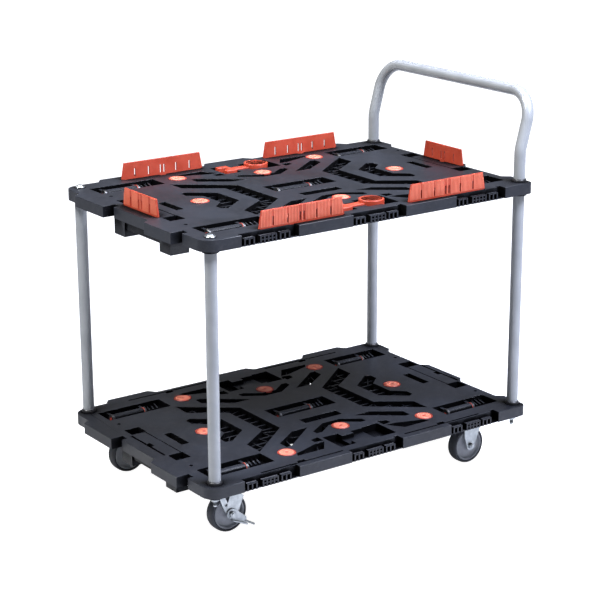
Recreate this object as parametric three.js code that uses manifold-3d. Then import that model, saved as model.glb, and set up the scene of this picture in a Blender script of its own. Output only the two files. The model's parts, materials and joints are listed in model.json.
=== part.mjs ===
// Two-tier platform cart: two ribbed plastic decks on four steel posts, a bent push handle,
// two swivel casters with side brakes, two fixed casters, lift-out stoppers and link pieces.
// Millimetres, +Z up. X runs along the cart towards the handle, Y across it.
import * as THREE from "three";
import { mergeVertices } from "three/addons/utils/BufferGeometryUtils.js";
import Module from "manifold-3d";

const wasm = await Module();
wasm.setup();

// ---- Driving dimensions --------------------------------------------------------------------
const GAP = 0.3; // clearance between pieces that rest on each other
const LOWER_TOP = 121; // top of the lower deck above the floor
const DECK_RISE = 450.5; // from the top of one deck to the top of the other
const UPPER_TOP = LOWER_TOP + DECK_RISE;

// Deck, in plan. Its own origin is the middle of its grip disc pattern.
const NEAR_EDGE = -251;
const NEAR_RECESS = -238.5;
const FAR_EDGE = 245;
const FAR_TAB = 261;
const LEFT_INNER = -377;
const LEFT_OUTER = -391;
const RIGHT_INNER = 353;
const RIGHT_OUTER = 367;
const COMB_X = [-243, -4, 235]; // middles of the tabs and of the recesses they mate with
const COMB_HALF = 60;
const SKIRT = 21; // height of the deck's rim
const PLATE = 4; // thickness of its top
const WALL = 4; // thickness of the rim
const RIB = 3;
const CORNER_R = 26; // round corners at the front end
const SMALL_CORNER = 12; // the corners at the handle end
const TAB_T = 6;
const SLOT_DEPTH = 15; // the slots that the stoppers plug into
const POST_X = 351;
const POST_Y = 227;

// Tubes and their fastenings.
const TUBE_R = 11.1;
const TUBE_WALL = 1.5;
const BOLT_R = 4;
const BOLT_HOLE_R = BOLT_R + GAP;
const COLLAR_H = 6;
const COLLAR_R = 13.5;
const BOSS_R = 15;
const BOSS_DEPTH = 26.4;

// Push handle, above the upper deck.
const LEAN_START = 60;
const HANDLE_RISE = 167; // up to the middle of the grip bar
const HANDLE_X = 380; // the grip bar's middle
const HANDLE_CORNER_R = 55;

// Casters.
const WHEEL_R = 37.5;
const WHEEL_HALF = 12;
const CASTER_H = 99;
const FORK_IN = 14.2; // half the width inside the fork
const FORK_WALL = 2.5;
const CASTER_Y = 178;
const SWIVEL_X = -322;
const TRAIL = 26; // from the swivel axis to the wheel's axle
const FIXED_X = 274;

// Stoppers: upright plates whose tongues plug into slots of the upper deck.
const STOPPER_H = 32;
const TONGUE = 12;
const STOPPER_T = 3;
const SLIT_HALF = 1.3;
const SLIT_FOOT = 3;
const SLIT_TOP = 19;
const LONG_STOPPER = { half: 92, top: 86, slits: [-62, -31, -4, 4, 31, 62] };
const SHORT_STOPPER = { half: 61, top: 55, slits: [-33, -5, 5, 33] };
const LONG_SLOT_X = 165;
const LONG_SLOT_Y = 234;
const SHORT_SLOT_X = 352;

// ---- Materials -----------------------------------------------------------------------------
const finish = (color, roughness, metalness = 0) =>
  new THREE.MeshStandardMaterial({ color, roughness, metalness });
const BLACK_PLASTIC = finish(0x2b2b2e, 0.55);
const COLLAR_PLASTIC = finish(0x161618, 0.6);
const GREY_PAINT = finish(0xa9aeb8, 0.35, 0.2);
const ZINC = finish(0xc8ccd0, 0.35, 0.9);
const TYRE_RUBBER = finish(0x3c3f47, 0.75);
const HUB_PLASTIC = finish(0x7c8390, 0.5);
const ORANGE_PLASTIC = finish(0xe8583a, 0.5);

// ---- Solids --------------------------------------------------------------------------------
function solid(geometry) {
  const bare = new THREE.BufferGeometry();
  bare.setAttribute("position", geometry.getAttribute("position").clone());
  if (geometry.index) bare.setIndex(geometry.index.clone());
  const merged = mergeVertices(bare, 1e-4);
  const vertProperties = merged.attributes.position.array;
  const triVerts = new Uint32Array(merged.index.array);
  return new wasm.Manifold(new wasm.Mesh({ numProp: 3, vertProperties, triVerts }));
}

function geometryOf(manifold) {
  const mesh = manifold.getMesh();
  const geometry = new THREE.BufferGeometry();
  geometry.setAttribute("position", new THREE.BufferAttribute(mesh.vertProperties, 3));
  geometry.setIndex(new THREE.BufferAttribute(mesh.triVerts, 1));
  const flat = geometry.toNonIndexed();
  flat.computeVertexNormals();
  return flat;
}

const join = (base, pieces) => pieces.reduce((sum, piece) => sum.add(piece), base);
const cut = (base, pieces) => pieces.reduce((rest, piece) => rest.subtract(piece), base);

function block(x0, x1, y0, y1, z0, z1) {
  const box = new THREE.BoxGeometry(x1 - x0, y1 - y0, z1 - z0);
  return solid(box.translate((x0 + x1) / 2, (y0 + y1) / 2, (z0 + z1) / 2));
}

// A plan outline raised between two heights.
function prism(points, z0, z1) {
  const plain = points instanceof THREE.Shape;
  const shape = plain ? points : new THREE.Shape(points.map(([x, y]) => new THREE.Vector2(x, y)));
  const options = { depth: z1 - z0, bevelEnabled: false, curveSegments: 3 };
  return solid(new THREE.ExtrudeGeometry(shape, options).translate(0, 0, z0));
}

// A side-view outline (X and Z) made solid between two places across the cart.
function slab(shape, y0, y1) {
  const options = { depth: y1 - y0, bevelEnabled: false, curveSegments: 4 };
  return solid(new THREE.ExtrudeGeometry(shape, options).rotateX(Math.PI / 2).translate(0, y1, 0));
}

function rod(radius, z0, z1, x = 0, y = 0, sides = 14) {
  const cylinder = new THREE.CylinderGeometry(radius, radius, z1 - z0, sides);
  return solid(cylinder.rotateX(Math.PI / 2).translate(x, y, (z0 + z1) / 2));
}

// A turned piece. The profile is a closed loop of [radius, height] pairs, or ends on the axis.
function turned(profile, sides) {
  const points = profile.map(([r, z]) => new THREE.Vector2(r, z));
  return new THREE.LatheGeometry(points, sides).rotateX(Math.PI / 2);
}

function ring(inner, outer, z0, z1, sides) {
  return turned([[inner, z0], [outer, z0], [outer, z1], [inner, z1], [inner, z0]], sides);
}

// Moves every side of a counter-clockwise outline outwards by the same distance.
function grown(points, distance) {
  const count = points.length;
  return points.map((point, i) => {
    const before = new THREE.Vector2(...points[(i + count - 1) % count]);
    const here = new THREE.Vector2(...point);
    const after = new THREE.Vector2(...points[(i + 1) % count]);
    const first = here.clone().sub(before).normalize();
    const second = after.clone().sub(here).normalize();
    const out = new THREE.Vector2(first.y + second.y, -first.x - second.x);
    const reach = distance / (1 + first.dot(second));
    return [here.x + out.x * reach, here.y + out.y * reach];
  });
}

const ordered = (a, b) => (a < b ? [a, b] : [b, a]);
const flipX = (points) => points.map(([x, y]) => [-x, y]).reverse();
const flipY = (points) => points.map(([x, y]) => [x, -y]).reverse();

// ---- Decks ---------------------------------------------------------------------------------
// The rim's outline. The near and left sides have the recesses that a neighbouring deck's far
// and right tabs fit.
function deckOutline() {
  const shape = new THREE.Shape();
  shape.moveTo(LEFT_INNER + CORNER_R, NEAR_EDGE);
  for (const x of COMB_X) {
    shape.lineTo(x - COMB_HALF, NEAR_EDGE);
    shape.lineTo(x - COMB_HALF, NEAR_RECESS);
    shape.lineTo(x + COMB_HALF - 10, NEAR_RECESS);
    shape.lineTo(x + COMB_HALF - 10, NEAR_RECESS + 6);
    shape.lineTo(x + COMB_HALF, NEAR_RECESS + 6);
    shape.lineTo(x + COMB_HALF, NEAR_EDGE);
  }
  const inset = RIGHT_OUTER - SMALL_CORNER;
  shape.lineTo(inset, NEAR_EDGE);
  shape.absarc(inset, NEAR_EDGE + SMALL_CORNER, SMALL_CORNER, -Math.PI / 2, 0);
  shape.lineTo(RIGHT_OUTER, -186);
  shape.lineTo(RIGHT_INNER, -174);
  shape.lineTo(RIGHT_INNER, -64);
  shape.lineTo(RIGHT_OUTER, -52);
  shape.lineTo(RIGHT_OUTER, 52);
  shape.lineTo(RIGHT_INNER, 64);
  shape.lineTo(RIGHT_INNER, 174);
  shape.lineTo(RIGHT_OUTER, 186);
  shape.lineTo(RIGHT_OUTER, FAR_EDGE - SMALL_CORNER);
  shape.lineTo(inset, FAR_EDGE);
  shape.lineTo(LEFT_INNER + CORNER_R, FAR_EDGE);
  shape.absarc(LEFT_INNER + CORNER_R, FAR_EDGE - CORNER_R, CORNER_R, Math.PI / 2, Math.PI);
  const notch = LEFT_INNER + 12;
  shape.lineTo(LEFT_INNER, 184);
  shape.lineTo(LEFT_OUTER, 174);
  shape.lineTo(LEFT_OUTER, 70);
  shape.lineTo(notch, 70);
  shape.lineTo(notch, 55);
  shape.lineTo(LEFT_INNER, 55);
  shape.lineTo(LEFT_INNER, -64);
  shape.lineTo(LEFT_OUTER, -74);
  shape.lineTo(LEFT_OUTER, -163);
  shape.lineTo(notch, -163);
  shape.lineTo(notch, -178);
  shape.lineTo(LEFT_INNER, -178);
  shape.lineTo(LEFT_INNER, NEAR_EDGE + CORNER_R);
  shape.absarc(LEFT_INNER + CORNER_R, NEAR_EDGE + CORNER_R, CORNER_R, Math.PI, Math.PI * 1.5);
  return shape;
}

// Openings through the plate, one of each mirrored set.
const LADDER = [
  [100, 68], [100, -68], [200, -147], [200, -105], [133, -58], [133, 58], [200, 105], [200, 147],
];
const CHEVRON = [
  [165, 36], [165, -36], [214, -74], [225, -68], [225, -50],
  [200, -28], [200, 28], [225, 50], [225, 68], [214, 74],
];
const VEE = [
  [-60, 134], [-60, 122], [-20, 97], [20, 97], [57, 122],
  [57, 134], [45, 134], [16, 112], [-16, 112], [-48, 134],
];
const BAND = [[57, 98], [92, 98], [147, 136], [147, 158], [136, 158]];
const OUTER_BAND = [[74, 176], [92, 176], [150, 195], [156, 206], [96, 206]];
const SMALL_WINDOW = [[72, 150], [90, 156], [90, 168], [72, 171]];
const SIDE_SLOT = [[282, -33], [298, -33], [298, 33], [282, 33]];
const MIDDLE_SLOT = [[-45, -77], [42, -77], [42, -55], [-45, -55]];
const FOOT_HOLE = [[317, 65], [348, 65], [348, 94], [317, 94]];

const inFourCorners = (points) => [points, flipX(points), flipY(points), flipX(flipY(points))];
const WINDOWS = [
  LADDER, flipX(LADDER), CHEVRON, flipX(CHEVRON),
  VEE, flipY(VEE), SIDE_SLOT, flipX(SIDE_SLOT), MIDDLE_SLOT,
  ...inFourCorners(BAND), ...inFourCorners(OUTER_BAND), ...inFourCorners(SMALL_WINDOW),
];
// Bars across the windows, below the surface: [left, right] of each and their places across.
const RUNGS = [
  { left: 98.5, right: 134.5, at: [-46, -23, 0, 23, 46] },
  { left: 112, right: 166, at: [-80, 80] },
  { left: 137, right: 197, at: [-102, 102] },
  { left: 166, right: 201, at: [-122, 122] },
  { left: 163.5, right: 201.5, at: [-14, 8] },
  { left: 164, right: 212, at: [-38, 38] },
  { left: 188, right: 226, at: [-57, 57] },
];
const DRAIN_X = 339;
const DRAIN_Y = 130;
const GROOVE_X = 320; // the line that joins the two foot holes at each end

// Rope bar pockets: [left, right, near, far].
const ROPE_POCKETS = [
  [-70, 70, -20, 27],
  [-343, -205, 158, 205], [205, 335, 158, 205],
  [-343, -205, -202, -155], [205, 335, -202, -155],
];
const POCKET_FLOOR = -13;
const FLOOR_T = 3;
const LINK_FLOOR = -8;
const LINK_WELL = -15;
const LINK_Y = 188;

const BAR_TOP = -1.5;
const BAR_R = 9.5;
const BAR_IN = 26.5; // from the pocket's near side to the bar's axis
const BAR_RIGHT = 44; // from the pocket's right end to the bar
const SLATS = 3; // slanting bars at the right end of a rope pocket

function ropePocket([x0, x1, y0, y1]) {
  const tray = block(x0 - RIB, x1 + RIB, y0 - RIB, y1 + RIB, POCKET_FLOOR - FLOOR_T, -1);
  const space = block(x0, x1, y0, y1, POCKET_FLOOR, 1);
  const hole = block(x0 + 5, x0 + 14, y0 + 3, y1 - 3, POCKET_FLOOR - 30, 1);
  const [barLeft, barRight] = [x0 + 18, x1 - BAR_RIGHT];
  const round = new THREE.CylinderGeometry(BAR_R, BAR_R, barRight - barLeft, 14).rotateZ(Math.PI / 2);
  const rope = solid(round.translate((barLeft + barRight) / 2, y0 + BAR_IN, BAR_TOP - BAR_R));
  const ends = [barLeft, barRight - 6].map((x) => {
    return block(x, x + 6, y0 + BAR_IN, y1 + 1, POCKET_FLOOR - 1, BAR_TOP - 2);
  });
  const slats = Array.from({ length: SLATS }, (_, i) => {
    const x = barRight + 4 + i * 9;
    const plan = [[x, y0 + 17], [x + 3, y0 + 17], [x + 12, y1 + 1], [x + 9, y1 + 1]];
    return prism(plan, -9, -5);
  });
  return { tray, space, hole, bar: join(rope, [...ends, ...slats]) };
}

function linkPocket(side) {
  const y = side * LINK_Y;
  const tray = block(-68, 68, y - 33, y + 33, LINK_WELL - FLOOR_T, -1);
  const wells = [[-65, -30], [28, 65]].map(([x0, x1]) => {
    return block(x0, x1, y - 30, y + 30, LINK_WELL, 1);
  });
  const seat = block(-2, 29, y - 26, y + 26, LINK_FLOOR, 1);
  const channel = block(-31, 29, y - 15, y + 15, LINK_FLOOR, 1);
  return { tray, space: join(channel, [seat, ...wells]) };
}

// The three groups of rim fins in a near recess. Each group's fins are tied by a bar.
const FIN_T = 3;
const FIN_TOP = -7;
const FIN_GROUPS = [
  { fins: [-54, -44.5, -35], bars: [FIN_TOP] },
  { fins: [-21, -13, -5, 3, 11], bars: [FIN_TOP, -13] },
  { fins: [20, 29.5, 39], bars: [FIN_TOP] },
];
function fins(centre) {
  const [outer, inner] = [NEAR_EDGE + 1, NEAR_RECESS + 1];
  return FIN_GROUPS.flatMap((group) => {
    const left = centre + group.fins[0];
    const right = centre + group.fins.at(-1) + FIN_T;
    const blades = group.fins.map((at) => {
      return block(centre + at, centre + at + FIN_T, outer, inner, -SKIRT, FIN_TOP);
    });
    const bars = group.bars.map((top) => block(left, right, outer + 0.4, inner, top - 2.5, top - 0.2));
    return [...blades, ...bars];
  });
}

// The plate and rim, hollow underneath, with tabs along the far side.
function deckShell() {
  const low = -SKIRT - 1;
  const hollow = [LEFT_INNER + 16, RIGHT_INNER - WALL, NEAR_RECESS + 10, FAR_EDGE - WALL];
  const behindLeft = [LEFT_OUTER + WALL, LEFT_INNER + 17];
  const behindRight = [RIGHT_INNER - 5, RIGHT_OUTER - WALL];
  const behindNear = [NEAR_EDGE + WALL, NEAR_RECESS + 11];
  const between = [0, 1].map((i) => {
    return [COMB_X[i] + COMB_HALF + WALL, COMB_X[i + 1] - COMB_HALF - WALL, ...behindNear];
  });
  const hollows = [
    hollow, [...behindLeft, 74, 170], [...behindLeft, -159, -78], [...behindRight, -48, 48], ...between,
  ];
  const shell = cut(prism(deckOutline(), -SKIRT, 0), hollows.map((plan) => block(...plan, low, -PLATE)));
  const root = FAR_EDGE - 2;
  const tabs = COMB_X.map((x) => {
    const top = COMB_HALF - 14;
    const plan = [[x - COMB_HALF, root], [x + COMB_HALF, root], [x + top, FAR_TAB], [x - top, FAR_TAB]];
    return prism(plan, -TAB_T, 0);
  });
  return join(shell, [...tabs, ...COMB_X.flatMap(fins)]);
}

// Pads that the casters bolt to, with two walls each.
function casterPads() {
  const face = -LOWER_TOP + CASTER_H;
  const [halfX, halfY] = [43, 31];
  return [SWIVEL_X, FIXED_X].flatMap((x) => [-1, 1].flatMap((side) => {
    const y = side * CASTER_Y;
    const span = [y - halfY, y + halfY, face];
    return [
      block(x - halfX, x + halfX, ...span, POCKET_FLOOR - FLOOR_T + 1),
      block(x - halfX, x - halfX + RIB, ...span, -1),
      block(x + halfX - RIB, x + halfX, ...span, -1),
    ];
  }));
}

const FOOT_DEPTH = 62;
const FOOT_WALL = 4;
const BEAM_DEPTH = 48; // the beam between the two feet at each end
const CORNER_SIGNS = [[-1, -1], [-1, 1], [1, -1], [1, 1]];

function footHole(sx, sy) {
  const hole = sx > 0 ? FOOT_HOLE : flipX(FOOT_HOLE);
  return sy > 0 ? hole : flipY(hole);
}

// The slots that take the stoppers' tongues, each with a finger notch on its inner side. With
// a wall and a floor around them they are the solids that the slots are cut into.
function stopperSlots(wall = 0, top = 1) {
  const depth = [-SLOT_DEPTH - wall, top];
  const half = 2 + wall;
  const notch = 8 + wall;
  const long = CORNER_SIGNS.flatMap(([sx, sy]) => {
    const [x, y] = [sx * LONG_SLOT_X, sy * LONG_SLOT_Y];
    const reach = LONG_STOPPER.half + wall;
    return [
      block(x - reach, x + reach, y - half, y + half, ...depth),
      block(x - notch, x + notch, ...ordered(y - sy, y - sy * (notch + 1)), ...depth),
    ];
  });
  const short = [-1, 1].flatMap((sx) => {
    const x = sx * SHORT_SLOT_X;
    const reach = SHORT_STOPPER.half + wall;
    return [
      block(x - half, x + half, -reach, reach, ...depth),
      block(...ordered(x - sx, x - sx * (notch + 1)), -notch, notch, ...depth),
    ];
  });
  return [...long, ...short];
}

function makeDeck() {
  const ropes = ROPE_POCKETS.map(ropePocket);
  const links = [-1, 1].map(linkPocket);
  const windowWalls = WINDOWS.map((w) => prism(grown(w, RIB), -SKIRT + 1, -PLATE + 1));
  const bosses = CORNER_SIGNS.map(([sx, sy]) => {
    return rod(BOSS_R, -BOSS_DEPTH, -1, sx * POST_X, sy * POST_Y);
  });
  const feet = CORNER_SIGNS.map((signs) => prism(grown(footHole(...signs), FOOT_WALL), -FOOT_DEPTH, -1));
  const beams = [-1, 1].map((sx) => block(...ordered(sx * 345, sx * 349), -64, 64, -BEAM_DEPTH, -1));
  const solids = [
    ...windowWalls, ...ropes.map((r) => r.tray), ...links.map((l) => l.tray),
    ...casterPads(), ...bosses, ...feet, ...beams, ...stopperSlots(RIB, -1),
  ];

  const drains = CORNER_SIGNS.map(([sx, sy]) => rod(3.5, -PLATE - 20, 1, sx * DRAIN_X, sy * DRAIN_Y, 8));
  const grooves = [-1, 1].map((sx) => block(sx * GROOVE_X - 1, sx * GROOVE_X + 1, -66, 66, -1.2, 1));
  const boltHoles = CORNER_SIGNS.map(([sx, sy]) => {
    return rod(BOLT_HOLE_R + 0.4, -40, 1, sx * POST_X, sy * POST_Y);
  });
  const holes = [
    ...WINDOWS.map((w) => prism(w, -SKIRT - 2, 1)),
    ...CORNER_SIGNS.map((signs) => prism(footHole(...signs), -FOOT_DEPTH + FOOT_WALL, 1)),
    ...stopperSlots(), ...ropes.map((r) => r.space), ...ropes.map((r) => r.hole),
    ...links.map((l) => l.space), ...drains, ...grooves, ...boltHoles,
  ];

  const rungs = RUNGS.flatMap(({ left, right, at }) => [-1, 1].flatMap((side) => {
    return at.map((y) => block(...ordered(side * left, side * right), y - 2, y + 2, -18, -7));
  }));
  const opened = cut(join(deckShell(), solids), holes);
  return join(opened, [...rungs, ...ropes.map((r) => r.bar)]);
}

// ---- Tubes ---------------------------------------------------------------------------------
// A post: a steel tube with a drilled plug in each end for its bolts.
function postGeometry(length) {
  const bore = TUBE_R - TUBE_WALL;
  const plug = 14;
  const profile = [
    [BOLT_HOLE_R, 0], [TUBE_R, 0], [TUBE_R, length], [BOLT_HOLE_R, length],
    [BOLT_HOLE_R, length - plug], [bore, length - plug],
    [bore, plug], [BOLT_HOLE_R, plug], [BOLT_HOLE_R, 0],
  ];
  return turned(profile, 14);
}

// A path that passes through each of its stations in turn, straight from one to the next.
class StationPath extends THREE.Curve {
  constructor(stations) {
    super();
    this.stations = stations;
  }
  getPoint(t, target = new THREE.Vector3()) {
    const along = Math.min(Math.max(t, 0), 1) * (this.stations.length - 1);
    const i = Math.min(Math.floor(along), this.stations.length - 2);
    return target.copy(this.stations[i]).lerp(this.stations[i + 1], along - i);
  }
  getPointAt(u, target) {
    return this.getPoint(u, target);
  }
  getTangentAt(u, target) {
    return this.getTangent(u, target);
  }
}

// The stations of a round corner between two straight runs.
function roundCorner(before, corner, after, radius, steps) {
  const inward = corner.clone().sub(before).normalize();
  const outward = after.clone().sub(corner).normalize();
  const turn = inward.angleTo(outward);
  const setback = radius * Math.tan(turn / 2);
  const start = corner.clone().addScaledVector(inward, -setback);
  const side = outward.clone().addScaledVector(inward, -outward.dot(inward)).normalize();
  return Array.from({ length: steps + 1 }, (_, i) => {
    const angle = (turn * i) / steps;
    return start.clone()
      .addScaledVector(inward, radius * Math.sin(angle))
      .addScaledVector(side, radius * (1 - Math.cos(angle)));
  });
}

function handleGeometry() {
  const foot = COLLAR_H;
  const corners = [
    [POST_X, -POST_Y, foot], [POST_X, -POST_Y, LEAN_START], [HANDLE_X, -POST_Y, HANDLE_RISE],
    [HANDLE_X, POST_Y, HANDLE_RISE], [POST_X, POST_Y, LEAN_START], [POST_X, POST_Y, foot],
  ].map((p) => new THREE.Vector3(...p));
  const radii = [0, 70, HANDLE_CORNER_R, HANDLE_CORNER_R, 70, 0];
  const steps = [0, 3, 7, 7, 3, 0];
  const stations = corners.flatMap((corner, i) => {
    if (!steps[i]) return [corner];
    return roundCorner(corners[i - 1], corner, corners[i + 1], radii[i], steps[i]);
  });
  const section = new THREE.Shape();
  section.absarc(0, 0, TUBE_R, 0, Math.PI * 2);
  const bore = new THREE.Path();
  bore.absarc(0, 0, TUBE_R - TUBE_WALL, 0, Math.PI * 2, true);
  section.holes.push(bore);
  const options = { extrudePath: new StationPath(stations), steps: stations.length - 1, curveSegments: 6 };
  const tube = solid(new THREE.ExtrudeGeometry(section, options));
  const plugs = [-1, 1].map((side) => {
    const plug = rod(TUBE_R - TUBE_WALL + 0.4, foot + 0.5, foot + 14, POST_X, side * POST_Y);
    return cut(plug, [rod(BOLT_HOLE_R, foot - 1, foot + 15, POST_X, side * POST_Y)]);
  });
  return geometryOf(join(tube, plugs));
}

const collarGeometry = () => ring(BOLT_HOLE_R + 0.3, COLLAR_R, GAP, COLLAR_H - GAP, 14);

// ---- Casters -------------------------------------------------------------------------------
// A caster's frame has its origin in the plane of the pad it is bolted to, on the swivel axis.
const AXLE_Z = WHEEL_R - CASTER_H;
const FORK_TOP = -9.6;
const BRAKE_T = 2.5;
const FLANGE_WIDTH = 11; // the brake's lower edge
const TOE_R = 2;
const PLATE_HALF = [42, 30]; // the casters' mounting plates, with a bolt hole near each corner
const PLATE_BOLTS = [33, 22];
const PLATE_T = 3;
const across = (geometry) => geometry.rotateX(Math.PI / 2); // turns a Z axis to run along Y
const crossHole = (radius) => solid(new THREE.CylinderGeometry(radius, radius, 100, 12));

function mountingPlate() {
  const [halfX, halfY] = PLATE_HALF;
  return block(-halfX, halfX, -halfY, halfY, -PLATE_T, -GAP);
}

function plateBoltHoles() {
  const [x, y] = PLATE_BOLTS;
  return CORNER_SIGNS.map(([sx, sy]) => rod(BOLT_HOLE_R, -5, 1, sx * x, sy * y, 12));
}

function tyreGeometry() {
  const inner = 31.6;
  const profile = [
    [inner, -10], [34, -WHEEL_HALF], [36.6, -9.5], [WHEEL_R, -4],
    [WHEEL_R, 4], [36.6, 9.5], [34, WHEEL_HALF], [inner, 10], [inner, -10],
  ];
  return across(turned(profile, 24));
}

function hubGeometry() {
  const bore = BOLT_R + 0.3;
  const profile = [
    [bore, -13.5], [9, -13.5], [10.5, -5], [25, -4], [27.5, -10], [31.3, -10],
    [31.3, 10], [27.5, 10], [25, 4], [10.5, 5], [9, 13.5], [bore, 13.5], [bore, -13.5],
  ];
  return across(turned(profile, 16));
}

// A bolt through the fork and the pieces outside it, with a hex head at one end and a nut at
// the other.
function axleGeometry(outside) {
  const end = FORK_IN + FORK_WALL + GAP + outside;
  const shank = rod(BOLT_R, -end - 1, end + 6, 0, 0, 12);
  const head = rod(6.5, -end - 4, -end, 0, 0, 6);
  const nut = rod(6.5, end, end + 4.5, 0, 0, 6);
  return across(geometryOf(join(shank, [head, nut])));
}

// The forks in side view: each leg's edges from its crown down to the round end at the axle.
const SWIVEL_LEG = {
  leading: [[-20, FORK_TOP], [-18, -14], [2, -29], [8, -45]],
  trailing: [[43, -57], [54, -32], [48, -27.5], [44, -14], [44, FORK_TOP]],
};
const FIXED_LEG = {
  leading: [[-17, -2], [-16, -40]],
  trailing: [[15, -48], [23, -29], [25, -2]],
};
const LEG_END_R = 9.5;

function forkLeg({ leading, trailing }, axleX, y) {
  const shape = new THREE.Shape();
  shape.moveTo(...leading[0]);
  leading.slice(1).forEach(([x, z]) => shape.lineTo(x, z));
  shape.absarc(axleX, AXLE_Z, LEG_END_R, Math.PI * 1.08, Math.PI * 1.96);
  trailing.forEach(([x, z]) => shape.lineTo(x, z));
  return slab(shape, y, y + FORK_WALL);
}

function forkGeometry(leg, axleX, crownZ) {
  const outer = FORK_IN + FORK_WALL;
  const left = leg.leading[0][0];
  const right = leg.trailing.at(-1)[0];
  const crown = block(left, right, -outer, outer, crownZ - 2.7, crownZ);
  const fork = join(crown, [-outer, FORK_IN].map((y) => forkLeg(leg, axleX, y)));
  return cut(fork, [crossHole(BOLT_R + GAP).translate([axleX, 0, AXLE_Z])]);
}

// The swivel fork, with a hole for the king pin and a lightened leg.
function swivelForkGeometry() {
  const windowPlan = new THREE.Shape();
  windowPlan.moveTo(9, -18);
  windowPlan.lineTo(19, -39);
  windowPlan.lineTo(27, -18);
  const window = slab(windowPlan, -50, 50);
  const eye = crossHole(2.5).translate([15.5, 0, -42.5]);
  return cut(forkGeometry(SWIVEL_LEG, TRAIL, FORK_TOP), [rod(6.4, -20, -5), window, eye]);
}

// Swivel mounting plate with its ball race and king pin.
function swivelPlateGeometry() {
  const race = rod(21, -9, -2, 0, 0, 20);
  const pinFoot = FORK_TOP - PLATE_T;
  const pin = rod(6, pinFoot, -5);
  const pinHead = rod(9, pinFoot - 2.6, pinFoot);
  return geometryOf(cut(join(mountingPlate(), [race, pin, pinHead]), plateBoltHoles()));
}

// Side brake: a pressed arm on the axle outside the fork, flanged outwards along its lower
// edge, with a rod for the toe at its tip.
const ARM_TIP = [31, -21];
const TOE_TIP = [48, -31.5];
function brakeGeometry(side) {
  const start = FORK_IN + FORK_WALL + GAP;
  const reach = (width) => ordered(side * start, side * (start + width));
  const arm = new THREE.Shape();
  arm.absarc(0, 0, 11, Math.PI * 0.3, Math.PI * 1.3);
  arm.lineTo(ARM_TIP[0] - 3, ARM_TIP[1] - 4);
  arm.lineTo(...ARM_TIP);
  arm.lineTo(ARM_TIP[0], ARM_TIP[1] + 9);
  const flange = new THREE.Shape();
  flange.moveTo(-4, -10.5);
  flange.lineTo(ARM_TIP[0] - 3, ARM_TIP[1] - 4);
  flange.lineTo(ARM_TIP[0] - 2, ARM_TIP[1] - 1);
  flange.lineTo(-4, -8);
  const [dx, dz] = [TOE_TIP[0] - ARM_TIP[0], TOE_TIP[1] - ARM_TIP[1]];
  const length = Math.hypot(dx, dz) + 4;
  const toe = new THREE.CylinderGeometry(TOE_R, TOE_R, length, 8).translate(0, -length / 2, 0);
  toe.rotateX(Math.PI / 2).rotateY(Math.atan2(-dx, -dz));
  toe.translate(TOE_TIP[0] - dx - 3, side * (start + TOE_R), TOE_TIP[1] - dz + 2);
  const lever = join(slab(arm, ...reach(BRAKE_T)), [slab(flange, ...reach(FLANGE_WIDTH)), solid(toe)]);
  return geometryOf(cut(lever, [crossHole(BOLT_R + GAP)]));
}

// ---- Stoppers and links ---------------------------------------------------------------------
// A stopper stands in the XZ plane with its foot on the deck and a tongue below it.
function stopperGeometry({ half, top, slits }) {
  const shoulder = half - 3;
  const outline = [
    [-shoulder, -TONGUE], [shoulder, -TONGUE], [shoulder, 0], [half, 0],
    [top, STOPPER_H], [-top, STOPPER_H], [-half, 0], [-shoulder, 0],
  ];
  const shape = new THREE.Shape(outline.map(([x, z]) => new THREE.Vector2(x, z)));
  const plate = slab(shape, -STOPPER_T / 2, STOPPER_T / 2);
  const holes = slits.map((x) => block(x - SLIT_HALF, x + SLIT_HALF, -3, 3, SLIT_FOOT, SLIT_TOP));
  return geometryOf(cut(plate, holes));
}

// A link piece: a cupped head with a peg hole and a forked tail on one neck.
function linkGeometry() {
  const low = LINK_FLOOR + GAP;
  const high = 6;
  const [neckTop, tailTop] = [1, 3];
  const head = rod(24, low, high, 24, 0, 28);
  const neck = block(-40, 4, -9, 9, low, neckTop);
  const tail = block(-58, -34, -21, 21, low, tailTop);
  const cup = rod(18.5, low + 4, high + 1, 24, 0, 24);
  const pegHole = rod(6, low - 1, high, 30, 0, 14);
  const headGap = block(38, 50, -5, 5, -1, high + 1);
  const tailNotch = block(-60, -44, -8, 8, low - 1, high + 1);
  return geometryOf(cut(join(neck, [head, tail]), [cup, pegHole, headGap, tailNotch]));
}

// ---- Assembly ------------------------------------------------------------------------------
const cart = new THREE.Group();
// The whole cart's box is centred on the origin in plan, with the wheels on Z = 0.
cart.position.set(-(LEFT_OUTER + HANDLE_X + TUBE_R) / 2, -(NEAR_EDGE + FAR_TAB) / 2, 0);

function place(name, geometry, material, x, y, z, parent = cart) {
  const mesh = new THREE.Mesh(geometry, material);
  mesh.name = name;
  mesh.position.set(x, y, z);
  parent.add(mesh);
  return mesh;
}

const deckGeometry = geometryOf(makeDeck());
place("lower_deck", deckGeometry, BLACK_PLASTIC, 0, 0, LOWER_TOP);
place("upper_deck", deckGeometry, BLACK_PLASTIC, 0, 0, UPPER_TOP);

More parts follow.
